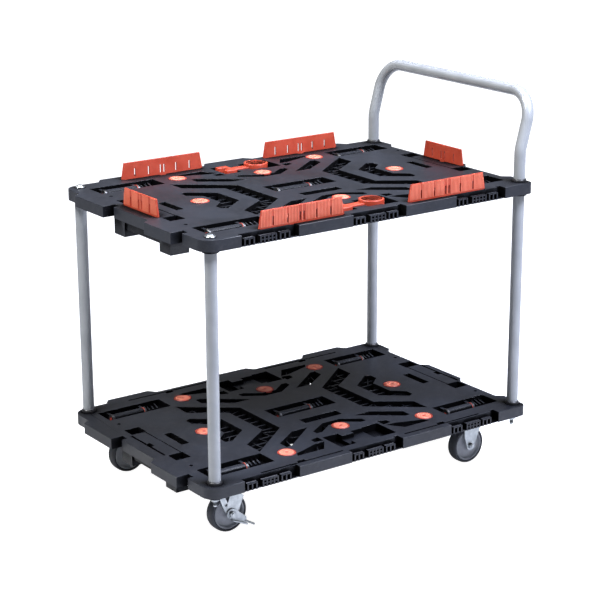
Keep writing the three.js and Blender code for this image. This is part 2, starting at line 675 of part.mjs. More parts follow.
const postFoot = LOWER_TOP + COLLAR_H;
const postLength = UPPER_TOP - BOSS_DEPTH - GAP - postFoot;
const STUD_TOP = 24;
const BOLT_END = -44;
const tieNut = rod(7.5, -BOSS_DEPTH - 7, -BOSS_DEPTH - GAP, 0, 0, 6);
const joiningStud = rod(BOLT_R, BOLT_END, STUD_TOP, 0, 0, 12);
const tieRod = joiningStud.add(tieNut);
const washer = rod(10, GAP, 2, 0, 0, 20);
const topBolt = join(rod(BOLT_R, BOLT_END, 1, 0, 0, 12), [washer, rod(7, 1.5, 5, 0, 0, 12)]);
for (const [end, sx] of [["front", -1], ["rear", 1]]) {
  for (const [hand, sy] of [["left", -1], ["right", 1]]) {
    const x = sx * POST_X;
    const y = sy * POST_Y;
    const name = `${end}_${hand}`;
    place(`${name}_post`, postGeometry(postLength), GREY_PAINT, x, y, postFoot);
    place(`${name}_post_collar`, collarGeometry(), COLLAR_PLASTIC, x, y, LOWER_TOP);
    place(`${name}_tie_bolt`, geometryOf(tieRod), ZINC, x, y, LOWER_TOP);
    if (end === "front") {
      place(`${name}_top_bolt`, geometryOf(topBolt), ZINC, x, y, UPPER_TOP);
    } else {
      place(`${hand}_handle_stud`, geometryOf(joiningStud), ZINC, x, y, UPPER_TOP);
      place(`${hand}_handle_collar`, collarGeometry(), COLLAR_PLASTIC, x, y, UPPER_TOP);
    }
  }
}
place("push_handle", handleGeometry(), GREY_PAINT, 0, 0, UPPER_TOP);

function addWheel(prefix, parent, axleX, outside) {
  place(`${prefix}_tyre`, tyreGeometry(), TYRE_RUBBER, axleX, 0, AXLE_Z, parent);
  place(`${prefix}_hub`, hubGeometry(), HUB_PLASTIC, axleX, 0, AXLE_Z, parent);
  place(`${prefix}_axle`, axleGeometry(outside), ZINC, axleX, 0, AXLE_Z, parent);
}

for (const [hand, sy] of [["left", -1], ["right", 1]]) {
  const front = new THREE.Group();
  front.position.set(SWIVEL_X, sy * CASTER_Y, CASTER_H);
  cart.add(front);
  const prefix = `front_${hand}_caster`;
  place(`${prefix}_plate`, swivelPlateGeometry(), ZINC, 0, 0, 0, front);
  place(`${prefix}_fork`, geometryOf(swivelForkGeometry()), ZINC, 0, 0, 0, front);
  place(`${prefix}_brake`, brakeGeometry(sy), ZINC, TRAIL, 0, AXLE_Z, front);
  addWheel(prefix, front, TRAIL, BRAKE_T + GAP);

  const rear = new THREE.Group();
  rear.position.set(FIXED_X, sy * CASTER_Y, CASTER_H);
  cart.add(rear);
  const rearPrefix = `rear_${hand}_caster`;
  const fixedFork = cut(forkGeometry(FIXED_LEG, 0, -GAP).add(mountingPlate()), plateBoltHoles());
  place(`${rearPrefix}_fork`, geometryOf(fixedFork), ZINC, 0, 0, 0, rear);
  addWheel(rearPrefix, rear, 0, 0);
}

const long = () => stopperGeometry(LONG_STOPPER);
const short = () => stopperGeometry(SHORT_STOPPER);
const FOOT = UPPER_TOP + GAP;
place("left_front_stopper", long(), ORANGE_PLASTIC, -LONG_SLOT_X, -LONG_SLOT_Y, FOOT);
place("left_rear_stopper", long(), ORANGE_PLASTIC, LONG_SLOT_X, -LONG_SLOT_Y, FOOT);
place("right_front_stopper", long(), ORANGE_PLASTIC, -LONG_SLOT_X, LONG_SLOT_Y, FOOT);
place("right_rear_stopper", long(), ORANGE_PLASTIC, LONG_SLOT_X, LONG_SLOT_Y, FOOT);
for (const [name, sx] of [["front", -1], ["rear", 1]]) {
  const plate = place(`${name}_end_stopper`, short(), ORANGE_PLASTIC, sx * SHORT_SLOT_X, 0, FOOT);
  plate.rotation.z = Math.PI / 2;
}
place("left_link", linkGeometry(), ORANGE_PLASTIC, 0, -LINK_Y, UPPER_TOP);
place("right_link", linkGeometry(), ORANGE_PLASTIC, 0, LINK_Y, UPPER_TOP);

const part = new THREE.Group();
part.add(cart);
export default part;
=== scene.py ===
import json
import math

import bmesh
import bpy
from mathutils import Matrix, Vector


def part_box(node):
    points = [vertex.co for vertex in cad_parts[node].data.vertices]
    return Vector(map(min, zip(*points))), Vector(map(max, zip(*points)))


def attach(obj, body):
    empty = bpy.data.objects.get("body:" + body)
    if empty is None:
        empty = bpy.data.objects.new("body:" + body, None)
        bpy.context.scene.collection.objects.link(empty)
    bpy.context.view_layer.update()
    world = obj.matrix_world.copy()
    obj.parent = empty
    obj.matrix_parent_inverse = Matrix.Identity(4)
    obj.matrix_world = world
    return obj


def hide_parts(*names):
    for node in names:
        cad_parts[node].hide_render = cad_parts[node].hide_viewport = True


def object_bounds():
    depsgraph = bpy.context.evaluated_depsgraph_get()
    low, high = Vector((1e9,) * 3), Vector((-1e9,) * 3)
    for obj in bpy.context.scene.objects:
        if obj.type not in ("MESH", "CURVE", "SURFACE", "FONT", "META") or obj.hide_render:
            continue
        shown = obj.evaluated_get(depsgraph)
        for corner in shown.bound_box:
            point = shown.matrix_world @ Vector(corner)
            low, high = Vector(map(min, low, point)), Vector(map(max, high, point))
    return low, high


# %% [markdown]
# # A two-tier platform cart
# Two moulded plastic decks stand on four painted tubes. The front casters swivel and have side
# brakes, the rear ones are fixed, and orange stoppers and link pieces plug into the upper deck.
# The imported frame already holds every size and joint, so this lesson only makes the surfaces:
# each piece is drawn around the frame's own boxes and rides on one of its bodies.

# %% The frame
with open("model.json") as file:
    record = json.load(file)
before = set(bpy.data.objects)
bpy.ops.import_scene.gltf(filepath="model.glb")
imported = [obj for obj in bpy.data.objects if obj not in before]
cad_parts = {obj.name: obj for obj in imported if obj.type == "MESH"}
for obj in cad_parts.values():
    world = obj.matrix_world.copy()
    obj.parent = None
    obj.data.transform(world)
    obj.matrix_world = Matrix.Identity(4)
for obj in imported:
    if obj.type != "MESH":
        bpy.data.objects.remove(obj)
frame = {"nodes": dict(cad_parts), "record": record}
cad_low, cad_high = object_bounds()
print("frame box, metres:", [round(v, 4) for v in (*cad_low, *cad_high)])

# %% [markdown]
# ## Working in millimetres
# A cart like this is drawn in millimetres, and its deck is measured from the middle of its grip
# pad pattern. Drawing every piece in those units and turning it into metres once, at the end,
# keeps the numbers the ones a mould maker would read.

# %% Units and origin
MM = 0.001
deck_low, deck_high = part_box("lower_deck")
PLAN = Vector((deck_low.x / MM + 391, deck_low.y / MM + 251, 0))  # the pad pattern's middle
LOWER_TOP = deck_high.z / MM
UPPER_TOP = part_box("upper_deck")[1].z / MM
DECKS = {"lower": LOWER_TOP, "upper": UPPER_TOP}
BODY_OF = {n: body for body, nodes in frame["record"]["behaviour"]["bodies"].items() for n in nodes}
print("deck tops at", round(LOWER_TOP, 2), "and", round(UPPER_TOP, 2), "mm")


def box_mm(node):
    """Lowest and highest corner of a CAD node, in millimetres from the deck's middle."""
    low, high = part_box(node)
    return low / MM - PLAN, high / MM - PLAN


def middle_mm(node):
    """The middle of a CAD node's box, in the same millimetres."""
    low, high = box_mm(node)
    return (low + high) / 2


# %% [markdown]
# ## Colours and nodes
# Colours are written as the sRGB hex values that a screen shows, and Blender shades in linear
# light, so one function converts them. One more function adds any shader node with its settings
# and links, which keeps each material to a few readable lines.

# %% Colour and node helpers
def linear(hex_colour):
    """An sRGB hex colour as the linear RGBA that the shaders use."""
    parts = [int(hex_colour[i : i + 2], 16) / 255 for i in (1, 3, 5)]
    return [c / 12.92 if c <= 0.04045 else ((c + 0.055) / 1.055) ** 2.4 for c in parts] + [1]


def add(tree, kind, inputs=None, **settings):
    """Adds a node, sets its properties, and gives its inputs values or links."""
    node = tree.nodes.new("ShaderNode" + kind)
    for key, value in settings.items():
        setattr(node, key, value)
    for key, value in (inputs or {}).items():
        if isinstance(value, bpy.types.NodeSocket):
            tree.links.new(value, node.inputs[key])
        else:
            node.inputs[key].default_value = value
    return node


def start_material(name, **surface):
    """A material with its uniform values on the shader's own sockets."""
    material = bpy.data.materials.new(name)
    material.use_nodes = True
    tree = material.node_tree
    shader = tree.nodes["Principled BSDF"]
    for socket, value in surface.items():
        shader.inputs[socket.replace("_", " ")].default_value = value
    return material, tree, shader, add(tree, "TexCoord").outputs["Object"]


def noise(tree, place, size_mm, detail=2.0, rough=0.5):
    """Noise whose blotches are about size_mm across."""
    inputs = {"Vector": place, "Scale": 1 / (size_mm * MM), "Detail": detail, "Roughness": rough}
    return add(tree, "TexNoise", inputs).outputs["Fac"]


def spread(tree, value, low, high, start=0.35, end=0.65):
    """Maps a noise value between start and end to low and high."""
    inputs = {"Value": value, "From Min": start, "From Max": end, "To Min": low, "To Max": high}
    return add(tree, "MapRange", inputs).outputs["Result"]


def blend_colours(tree, factor, first, second):
    """Goes from first to second as factor goes from 0 to 1. Each is a hex colour or a link."""
    ends = [linear(end) if isinstance(end, str) else end for end in (first, second)]
    return add(tree, "Mix", {0: factor, 6: ends[0], 7: ends[1]}, data_type="RGBA").outputs[2]


def bump(tree, shader, height, depth_mm, strength):
    """Lets a height of 0 to 1 tilt the surface as if it stood depth_mm proud."""
    inputs = {"Height": height, "Distance": depth_mm * MM, "Strength": strength}
    tree.links.new(add(tree, "Bump", inputs).outputs["Normal"], shader.inputs["Normal"])


# %% [markdown]
# ## Moulded black polypropylene
# The decks are injection moulded in a spark-eroded tool, which leaves a fine matt grain. It is
# black all through, so scuffs show as greyer, duller patches and not as another colour. Grain
# this fine, about 0.3 mm, is drawn at 1.2 mm so that it still breaks up the light. Windows and
# pockets get painted shade: they are painted near black, without scuffs, their reflection is
# painted out, and they are made rougher. An occlusion node measures how enclosed each point is:
# one is a free surface. Below the first of the two limits a point counts as fully enclosed.

# %% Deck plastic
RECESS_MM = 60  # how far to look for walls that enclose a point
# Occlusion limits of the painted shade: full painted shade below the first, none above the second.
ENCLOSED, FREE = 0.72, 0.97


def black_polypropylene():
    material, tree, shader, place = start_material(
        "moulded_black_polypropylene", IOR=1.49, Specular_IOR_Level=0.4
    )
    handling = noise(tree, place, 90, detail=5, rough=0.6)
    scuffs = spread(tree, noise(tree, place, 9, detail=6, rough=0.7), 0, 1, 0.5, 0.8)
    tone = blend_colours(tree, spread(tree, handling, 0, 1), "#14161c", "#1b1e25")
    worn = blend_colours(tree, scuffs, tone, "#2a2a2e")
    # Painted shade: enclosed points are painted near black (#030304) in place of the tone and scuffs,
    # and their specular tint goes to black, which paints out their reflection too. They are also made
    # rougher.
    openness = add(tree, "AmbientOcclusion", {"Distance": RECESS_MM * MM}, samples=8).outputs["AO"]
    painted_shade_openness = spread(tree, openness, 0, 1, ENCLOSED, FREE)
    tree.links.new(blend_colours(tree, painted_shade_openness, "#030304", worn), shader.inputs["Base Color"])
    tree.links.new(blend_colours(tree, painted_shade_openness, "#000000", "#ffffff"), shader.inputs["Specular Tint"])
    polished = spread(tree, handling, 0.34, 0.44)
    dull = spread(tree, painted_shade_openness, 0.95, 0, 0, 1)
    rough = add(tree, "Math", {0: polished, 1: dull}, operation="MAXIMUM").outputs[0]
    tree.links.new(rough, shader.inputs["Roughness"])
    bump(tree, shader, noise(tree, place, 1.2, detail=1), 0.06, 0.5)
    return material


DECK_PLASTIC = black_polypropylene()
print("made", DECK_PLASTIC.name)

# %% [markdown]
# ## Collar plastic
# The collars under the tubes are a softer, smoother black moulding. They catch one soft highlight
# on their rounded rim, so they need less grain and a little less roughness than the decks.

# %% Collar plastic
def collar_polyethylene():
    material, tree, shader, place = start_material("smooth_black_polyethylene", IOR=1.51)
    tone = blend_colours(tree, spread(tree, noise(tree, place, 7), 0, 1), "#141416", "#1d1d20")
    tree.links.new(tone, shader.inputs["Base Color"])
    tree.links.new(spread(tree, noise(tree, place, 5), 0.36, 0.46), shader.inputs["Roughness"])
    return material


COLLAR_PLASTIC = collar_polyethylene()
print("made", COLLAR_PLASTIC.name)

# %% [markdown]
# ## Grey baked paint
# The tubes are powder coated in a plain mid grey. A baked powder coat flows into a gentle
# orange-peel skin, so reflections along the tube are smooth but not mirror sharp. The skin is a
# clear gloss over the colour, made with the shader's coat.

# %% Tube paint
def grey_powder_coat():
    material, tree, shader, place = start_material(
        "grey_powder_coat", IOR=1.5, Coat_Weight=0.35, Coat_Roughness=0.12
    )
    tone = blend_colours(tree, spread(tree, noise(tree, place, 40, 3), 0, 1), "#7c7f82", "#85888b")
    tree.links.new(tone, shader.inputs["Base Color"])
    tree.links.new(spread(tree, noise(tree, place, 12), 0.3, 0.4), shader.inputs["Roughness"])
    bump(tree, shader, noise(tree, place, 2.5, detail=1), 0.04, 0.35)
    return material


TUBE_PAINT = grey_powder_coat()
print("made", TUBE_PAINT.name)

# %% [markdown]
# ## Bright zinc plate
# The caster frames and bolts are pressed steel with a bright, faintly blue zinc plate. Plating in
# a barrel leaves soft cloudy patches, so the roughness wanders over a centimetre or so.

# %% Zinc
def bright_zinc():
    material, tree, shader, place = start_material("bright_zinc_plated_steel", Metallic=1.0)
    clouds = noise(tree, place, 14, detail=4, rough=0.6)
    tone = blend_colours(tree, spread(tree, clouds, 0, 1), "#999ea1", "#b6babc")
    tree.links.new(tone, shader.inputs["Base Color"])
    tree.links.new(spread(tree, clouds, 0.42, 0.28), shader.inputs["Roughness"])
    bump(tree, shader, noise(tree, place, 3, detail=2), 0.05, 0.3)
    return material


ZINC = bright_zinc()
print("made", ZINC.name)

# %% [markdown]
# ## Tyre rubber and hub nylon
# The tyres are a grey-black elastomer that picks up dust, which makes it matt and slightly
# patchy. The hubs are moulded nylon in a lighter blue-grey, with a satin skin from the tool.

# %% Wheel materials
def tyre_elastomer():
    material, tree, shader, place = start_material("grey_black_elastomer", IOR=1.52)
    dust = noise(tree, place, 6, detail=5, rough=0.65)
    tone = blend_colours(tree, spread(tree, dust, 0, 1), "#22242b", "#32353d")
    tree.links.new(tone, shader.inputs["Base Color"])
    tree.links.new(spread(tree, dust, 0.55, 0.75), shader.inputs["Roughness"])
    bump(tree, shader, noise(tree, place, 1.0, detail=2), 0.05, 0.5)
    return material


def hub_nylon():
    material, tree, shader, place = start_material("blue_grey_nylon", IOR=1.53)
    flow = noise(tree, place, 11, detail=3)
    tone = blend_colours(tree, spread(tree, flow, 0, 1), "#878a91", "#94979e")
    tree.links.new(tone, shader.inputs["Base Color"])
    tree.links.new(spread(tree, flow, 0.4, 0.52), shader.inputs["Roughness"])
    bump(tree, shader, noise(tree, place, 1.0, detail=1), 0.03, 0.4)
    return material


TYRE_RUBBER = tyre_elastomer()
HUB_PLASTIC = hub_nylon()
print("made", TYRE_RUBBER.name, "and", HUB_PLASTIC.name)

# %% [markdown]
# ## Orange polypropylene and grip elastomer
# The stoppers and links are orange polypropylene, slightly milky, so light bleeds a little way
# into it. The flutes on a stopper's outer face are a paler orange, which is a painted sheen, and
# rougher. The grip pads are a softer, paler elastomer set in a redder ring.

# %% Orange materials
def orange_polypropylene(name, deep, pale, low_rough, high_rough):
    material, tree, shader, place = start_material(
        name, IOR=1.49, Subsurface_Weight=0.12, Subsurface_Scale=0.003
    )
    flow = noise(tree, place, 24, detail=4, rough=0.55)
    tone = blend_colours(tree, spread(tree, flow, 0, 1), deep, pale)
    tree.links.new(tone, shader.inputs["Base Color"])
    tree.links.new(spread(tree, flow, low_rough, high_rough), shader.inputs["Roughness"])
    bump(tree, shader, noise(tree, place, 1.2, detail=1), 0.04, 0.4)
    return material


ORANGE = orange_polypropylene("orange_polypropylene", "#903220", "#9c3c29", 0.34, 0.44)
# Painted sheen: the flutes' orange is paler than the plate's, standing in for light on the outer face.
PAINTED_SHEEN_ORANGE = orange_polypropylene("painted_sheen_orange_polypropylene", "#bb5f47", "#c76c54", 0.42, 0.52)
PAD_ORANGE = orange_polypropylene("orange_grip_elastomer", "#ab5a45", "#b86a56", 0.5, 0.6)
RING_RED = orange_polypropylene("red_ring_elastomer", "#7f2619", "#8c3021", 0.5, 0.6)
print("made", ", ".join(m.name for m in (ORANGE, PAINTED_SHEEN_ORANGE, PAD_ORANGE, RING_RED)))

# %% [markdown]
# ## From a bmesh to a finished piece
# Every piece ends the same way: it moves from drawing millimetres to the frame's metres, its
# edges above a chosen angle stay crisp, its flat faces keep even shading, and it rides on a body.

# %% Finishing helpers
SHARP = math.radians(40)


def make_piece(bm, name, material, body, replaces=(), crisp=32):
    """Turns a bmesh drawn in millimetres into a named piece that rides on a body."""
    bmesh.ops.translate(bm, vec=PLAN, verts=bm.verts)
    bmesh.ops.scale(bm, vec=(MM, MM, MM), verts=bm.verts)
    mesh = bpy.data.meshes.new(name)
    bm.to_mesh(mesh)
    bm.free()
    mesh.materials.append(material)
    mesh.shade_smooth()
    mesh.set_sharp_from_angle(angle=math.radians(crisp))
    piece = bpy.data.objects.new(name, mesh)
    bpy.context.scene.collection.objects.link(piece)
    even = piece.modifiers.new("even shading", "WEIGHTED_NORMAL")
    even.keep_sharp = True
    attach(piece, body)
    if replaces:
        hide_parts(*replaces)
    return piece


def cad_copy(node):
    """A CAD node's mesh in millimetres, its loose triangles merged into whole flat faces."""
    bm = bmesh.new()
    bm.from_mesh(frame["nodes"][node].data)
    bmesh.ops.scale(bm, vec=(1 / MM,) * 3, verts=bm.verts)
    bmesh.ops.translate(bm, vec=-PLAN, verts=bm.verts)
    bmesh.ops.remove_doubles(bm, verts=bm.verts, dist=0.005)
    bmesh.ops.dissolve_limit(bm, angle_limit=math.radians(0.5), verts=bm.verts, edges=bm.edges)
    return bm


def soften(bm, width, segments=2, edges=None):
    """Rounds the given edges of a solid, or else all the sharp outward ones."""
    if edges is None:
        edges = [e for e in bm.edges if e.is_manifold and e.calc_face_angle_signed(0) > SHARP]
    bmesh.ops.bevel(
        bm, geom=edges, offset=width, segments=segments, profile=0.5, affect="EDGES", material=-1,
        offset_type="OFFSET", clamp_overlap=False,
    )


def add_box(bm, low, high):
    """A block between two corners. Gives its vertices."""
    low, high = Vector(low), Vector(high)
    place = Matrix.Translation((low + high) / 2) @ Matrix.Diagonal((*(high - low), 1))
    return bmesh.ops.create_cube(bm, size=1, matrix=place)["verts"]


# %% [markdown]
# ## Decks
# Each deck is one large moulding: a plate with a rim, windows, rope pockets and hollow feet. Its
# frame solid has all of those in their true places, but with knife edges that no mould can make.
# A merged copy of it gets its rim rounded as a mould would do it, and a small radius round every
# window, because those thin bright lines are what tell the eye that this is plastic.

# %% The deck mouldings
DECK_EDGE = 0.75  # the narrowest land, between a slot and the rim, is 1.6 mm wide


def deck_edges(bm, z):
    """The outward edges round the top face, and the upright ones that start from it."""
    found = []
    for edge in bm.edges:
        if not edge.is_manifold or edge.calc_face_angle_signed(0) < math.radians(20):
            continue
        low, high = sorted(v.co.z for v in edge.verts)
        at_top = z - 0.05
        upright = high - low > 10 and edge.calc_face_angle() > math.radians(40)
        if high > at_top and (low > at_top or upright):
            found.append(edge)
    return found


def make_deck(level, top):
    bm = cad_copy(f"{level}_deck")
    edges = deck_edges(bm, top)
    soften(bm, DECK_EDGE, segments=2, edges=edges)
    print(level, "deck:", len(edges), "edges rounded,", len(bm.faces), "faces")
    make_piece(
        bm, f"{level}_deck_moulding", DECK_PLASTIC, "frame", [f"{level}_deck"]
    )


for level, top in DECKS.items():
    make_deck(level, top)

# %% [markdown]
# ## Webs below the windows
# A wide window would weaken the plate, so thin webs cross below each one, at a slant to the
# walls. They sit too low to catch a load, but at a low angle they are what is seen through the
# window. Each web is a thin upright block from wall to wall.

# %% Webs
WEB_T = 2.4
WEB_TOP, WEB_FOOT = -6, -19
WEBS = [  # x and y of both ends of each web, in one quarter of the deck
    (79, 120, 118, 106), (98, 126, 126, 146), (120, 116, 133, 160), (92, 178, 108, 208),
    (122, 184, 150, 208), (98, 70, 138, 56), (134, 60, 128, 94), (158, 72, 150, 112),
    (180, 88, 176, 130), (205, 34, 230, 56), (196, 40, 222, 74), (20, 95, 18, 116), (-4, 52, -4, 79),
]


def add_web(bm, ends, top):
    """One web as an upright block between two points in plan."""
    start, end = Vector((*ends[:2], 0)), Vector((*ends[2:], 0))
    run = end - start
    size = Matrix.Diagonal((run.length, WEB_T, WEB_TOP - WEB_FOOT, 1))
    turn = Matrix.Rotation(math.atan2(run.y, run.x), 4, "Z")
    middle = (start + end) / 2 + Vector((0, 0, top + (WEB_TOP + WEB_FOOT) / 2))
    bmesh.ops.create_cube(bm, size=1, matrix=Matrix.Translation(middle) @ turn @ size)


for level, top in DECKS.items():
    bm = bmesh.new()
    for x0, y0, x1, y1 in WEBS:
        for sx, sy in ((1, 1), (1, -1), (-1, 1), (-1, -1)):
            add_web(bm, (sx * x0, sy * y0, sx * x1, sy * y1), top)
    soften(bm, 0.4, segments=1)
    make_piece(bm, f"{level}_deck_webs", DECK_PLASTIC, "frame")
print("made", 4 * len(WEBS), "webs in each deck")

# %% [markdown]
# ## Shelves under the rim fins
# The near side has three recesses with upright fins, which grip the tabs of the next deck. A thin
# shelf ties the feet of the fins and closes each recess from below.

# %% Shelves
FIN_RECESSES = [-243, -4, 235]  # their middles
SHELF_HALF = 59.5
SHELF_OUT, SHELF_IN = -249.4, -232
SHELF_T = 1.5
SHELF_FOOT = -20.9  # a tenth of a millimetre above the rim's foot, so that their faces don't meet

for level, top in DECKS.items():
    bm = bmesh.new()
    for x in FIN_RECESSES:
        foot = top + SHELF_FOOT
        add_box(bm, (x - SHELF_HALF, SHELF_OUT, foot), (x + SHELF_HALF, SHELF_IN, foot + SHELF_T))
    soften(bm, 0.3, segments=1)
    make_piece(bm, f"{level}_deck_fin_shelves", DECK_PLASTIC, "frame")
print("made", len(FIN_RECESSES), "shelves in each deck")

# %% [markdown]
# ## Turned shapes
# Wheels, collars, pads and bolt heads are all solids of revolution. Drawing half the section once
# and spinning it is how a lathe or a round mould makes them. The spin merges its last step with
# its first, and the normals are recalculated because a spin can leave them facing inwards.

# %% Spinning a section
def spin_profile(bm, profile, centre, axis="Z", steps=32):
    """Spins [radius, height] pairs about an axis through centre. Closes on the axis or on itself."""
    before = set(bm.verts)
    verts = [bm.verts.new((r, 0, h)) for r, h in profile]
    edges = [bm.edges.new(pair) for pair in zip(verts, verts[1:])]
    if profile[0][0] > 0 or profile[-1][0] > 0:
        edges.append(bm.edges.new((verts[-1], verts[0])))
    bmesh.ops.spin(
        bm, geom=verts + edges, cent=(0, 0, 0), axis=(0, 0, 1), angle=math.tau, steps=steps,
        use_merge=True,
    )
    made = [v for v in bm.verts if v not in before]
    bmesh.ops.remove_doubles(bm, verts=made, dist=0.001)
    made = [v for v in bm.verts if v not in before]
    quarter = math.pi / 2
    turn = {
        "Z": Matrix(), "Y": Matrix.Rotation(-quarter, 4, "X"), "X": Matrix.Rotation(quarter, 4, "Y"),
    }
    bmesh.ops.transform(bm, matrix=Matrix.Translation(centre) @ turn[axis], verts=made)
    bmesh.ops.recalc_face_normals(bm, faces=list({f for v in made for f in v.link_faces}))


def add_hexagon(bm, centre, across_corners, thick):
    """A hexagonal nut or bolt head whose base lies at centre."""
    made = bmesh.ops.create_circle(bm, cap_ends=True, segments=6, radius=across_corners / 2)["verts"]
    face = made[0].link_faces[0]
    lid = bmesh.ops.extrude_face_region(bm, geom=[face])["geom"]
    raised = [v for v in lid if isinstance(v, bmesh.types.BMVert)]
    bmesh.ops.translate(bm, vec=(0, 0, thick), verts=raised)
    whole = made + raised
    bmesh.ops.translate(bm, vec=centre, verts=whole)
    faces = list({f for v in whole for f in v.link_faces})
    bmesh.ops.recalc_face_normals(bm, faces=faces)
    edges = list({e for f in faces for e in f.edges})
    soften(bm, thick * 0.12, edges=edges)


# %% [markdown]
# ## Grip pads
# Eight round pads sit in each deck and stop a load from sliding. Each is a soft disc held in a
# darker ring that stands in a round socket, and the ring's plastic shows again in a dimple in the
# disc's middle.

# %% Pads and rings
PAD_R = 14.6
RING_R = 17.6
PAD_PLACES = [
    (-163, -180.7), (163, -180.7), (-163, 180.7), (163, 180.7), (0, -128), (0, 128), (-227, 0), (227, 0),
]
DIMPLE_R = 3.2
PAD_SECTION = [
    (0, 0.4), (DIMPLE_R, 0.5), (DIMPLE_R + 1, 1.5), (6, 1.8), (PAD_R - 2.2, 1.8),
    (PAD_R - 0.8, 1.4), (PAD_R, 0.5), (PAD_R, -2), (0, -2),
]
DIMPLE_SECTION = [(0, 1.0), (DIMPLE_R - 0.4, 0.95), (DIMPLE_R, 0.7), (DIMPLE_R, -1), (0, -1)]
RING_SECTION = [
    (PAD_R + 0.5, -2), (PAD_R + 0.5, 0.5), (PAD_R + 1, 0.9), (RING_R - 0.6, 0.9), (RING_R, 0.4),
    (RING_R, -2),
]
PAD_PARTS = [
    ("pad", PAD_SECTION, PAD_ORANGE), ("ring", RING_SECTION, RING_RED),
    ("dimple", DIMPLE_SECTION, RING_RED),
]

for level, top in DECKS.items():
    for number, (x, y) in enumerate(PAD_PLACES, 1):
        for name, section, material in PAD_PARTS:
            bm = bmesh.new()
            spin_profile(bm, section, (x, y, top), steps=40)
            make_piece(bm, f"{level}_grip_{name}_{number}", material, "frame")
print("made", len(DECKS) * len(PAD_PLACES), "pads, each with a ring and a dimple")

# %% [markdown]
# ## Rope bars
# Five round bars lie in pockets of each deck, for a rope or a belt hook to pass round. A moulded
# collar closes each end of a bar. Each collar has an orange plug at its left, and the right one
# has an orange band too.

# %% Collars and plugs of the rope bars
ROPE_POCKETS = [  # left, right and near side of each pocket
    (-70, 70, -20), (-343, -205, 158), (205, 335, 158), (-343, -205, -202), (205, 335, -202),
]
BAR_AXIS_DOWN = 11
BAR_AXIS_IN = 26.5
BAR_LEFT_GAP, BAR_RIGHT_GAP = 18, 44  # from the pocket's ends to the bar's
COLLAR_T = 4
BAR_COLLAR = [(0, -0.6), (9.6, -0.6), (10.3, 0.2), (10.3, 3.6), (9.6, 4.4), (0, 4.4)]
BAR_BAND = [(9.2, -1.4), (10.1, -1.2), (10.1, -0.3), (9.2, -0.3)]
BAR_PLUG = [(0, -1.9), (2.6, -1.7), (3.9, -1), (4.1, -0.2), (0, -0.2)]

for level, top in DECKS.items():
    collars, plugs = bmesh.new(), bmesh.new()
    for left, right, near in ROPE_POCKETS:
        bar_left, bar_right = left + BAR_LEFT_GAP, right - BAR_RIGHT_GAP
        axis_y, axis_z = near + BAR_AXIS_IN, top - BAR_AXIS_DOWN
        for x in (bar_left, bar_right - COLLAR_T):
            spin_profile(collars, BAR_COLLAR, (x, axis_y, axis_z), "X", steps=28)
            spin_profile(plugs, BAR_PLUG, (x, axis_y, axis_z), "X", steps=16)
        spin_profile(plugs, BAR_BAND, (bar_right - COLLAR_T - 0.2, axis_y, axis_z), "X", steps=28)
    make_piece(collars, f"{level}_rope_bar_collars", COLLAR_PLASTIC, "frame")
    make_piece(plugs, f"{level}_rope_bar_plugs", RING_RED, "frame")
print("made the ends of", len(ROPE_POCKETS), "rope bars in each deck")

# %% [markdown]
# ## Tubes
# A tube bender feeds straight lengths and wraps the tube round a former for each bend. The same
# moves make the mesh: a ring of vertices is extruded along each straight, and spun about the
# former's centre for each bend, so every bend has a true radius and no pinch.

# %% Bending a tube
TUBE_R = 11.1
RING_SIDES = 36
DEGREES_A_STEP = 6


def bent_tube(start, heading, moves):
    """A closed tube from start. A move is a length to run, or an (axis, angle, radius) bend."""
    bm = bmesh.new()
    turn = Vector(heading).to_track_quat("Z", "Y").to_matrix().to_4x4()
    verts = bmesh.ops.create_circle(bm, segments=RING_SIDES, radius=TUBE_R)["verts"]
    bmesh.ops.transform(bm, matrix=Matrix.Translation(start) @ turn, verts=verts)
    edges = list({e for v in verts for e in v.link_edges})
    at = Vector(start)
    heading = Vector(heading).normalized()
    for move in moves:
        if isinstance(move, tuple):
            axis, angle, radius = move
            centre = at + Vector(axis).cross(heading).normalized() * radius
            steps = max(2, round(math.degrees(angle) / DEGREES_A_STEP))
            last = bmesh.ops.spin(
                bm, geom=verts + edges, cent=centre, axis=axis, angle=angle, steps=steps
            )["geom_last"]
            rotation = Matrix.Rotation(angle, 3, Vector(axis))
            at = centre + rotation @ (at - centre)
            heading = rotation @ heading
        else:
            last = bmesh.ops.extrude_edge_only(bm, edges=edges)["geom"]
            step = heading * move
            moved = [g for g in last if isinstance(g, bmesh.types.BMVert)]
            bmesh.ops.translate(bm, vec=step, verts=moved)
            at = at + step
        verts = [g for g in last if isinstance(g, bmesh.types.BMVert)]
        edges = [g for g in last if isinstance(g, bmesh.types.BMEdge)]
    bmesh.ops.holes_fill(bm, edges=[e for e in bm.edges if e.is_boundary], sides=RING_SIDES)
    bmesh.ops.recalc_face_normals(bm, faces=bm.faces)
    print("tube ends at", [round(v, 1) for v in at])
    return bm


for end in ("front", "rear"):
    for hand in ("left", "right"):
        node = f"{end}_{hand}_post"
        low, high = box_mm(node)
        foot = Vector((*middle_mm(node).xy, low.z))
        bm = bent_tube(foot, (0, 0, 1), [high.z - low.z])
        make_piece(bm, f"{node}_tube", TUBE_PAINT, "frame", [node])

# %% [markdown]
# ## Push handle
# The handle rises straight from its two feet, leans outwards so that a walking person's shins
# clear the deck, and turns across in two wide bends. Its run lengths follow from the corner
# points, less what each bend takes up.

